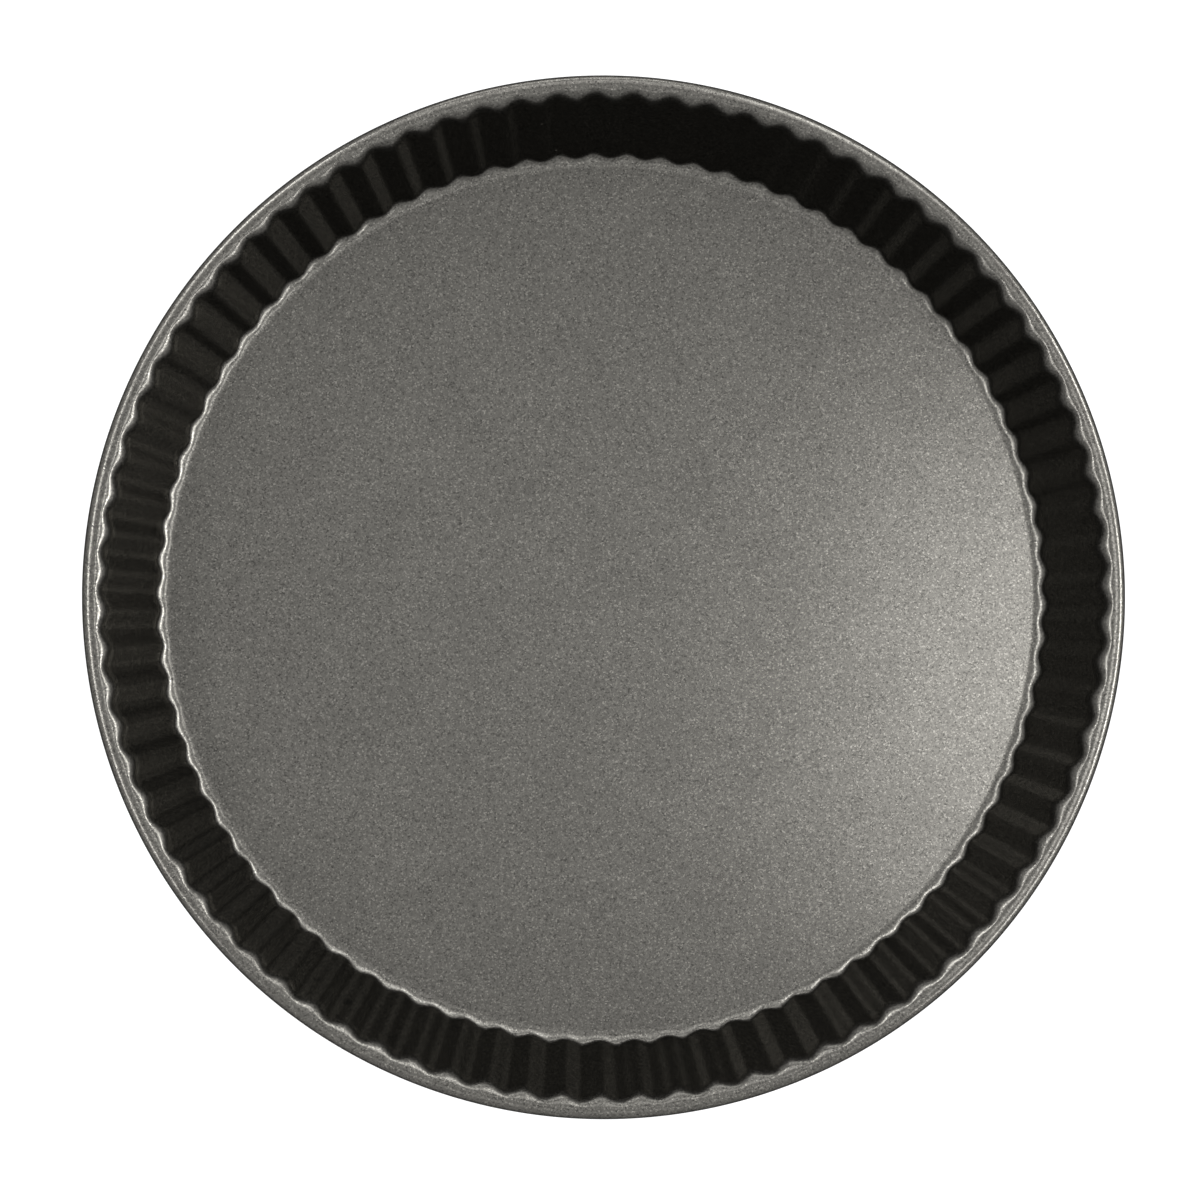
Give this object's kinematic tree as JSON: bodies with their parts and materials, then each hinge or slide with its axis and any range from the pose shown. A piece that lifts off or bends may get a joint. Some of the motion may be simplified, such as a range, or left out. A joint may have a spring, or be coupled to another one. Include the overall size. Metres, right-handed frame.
{
  "type": "tart tin",
  "caption": "Round fluted tart tin with a flat fixed floor, a flared wall pressed in upright flutes and a narrow flange rolled over into a curl, in dark grey non-stick coated steel.",
  "frame": {"origin": "centre of the floor's underside, on the surface the tin stands on", "axes": "+Z up along the tin's axis; +X through the crest of one outward bulge, to the right in the picture; +Y up in the picture"},
  "size_m": [0.3, 0.3, 0.03],
  "materials": {
    "coated_steel": "satin dark grey non-stick coating with fine metallic flecks, on pressed steel sheet"
  },
  "bodies": {
    "root": {"tart_tin": "coated_steel"}
  },
  "joints": []
}
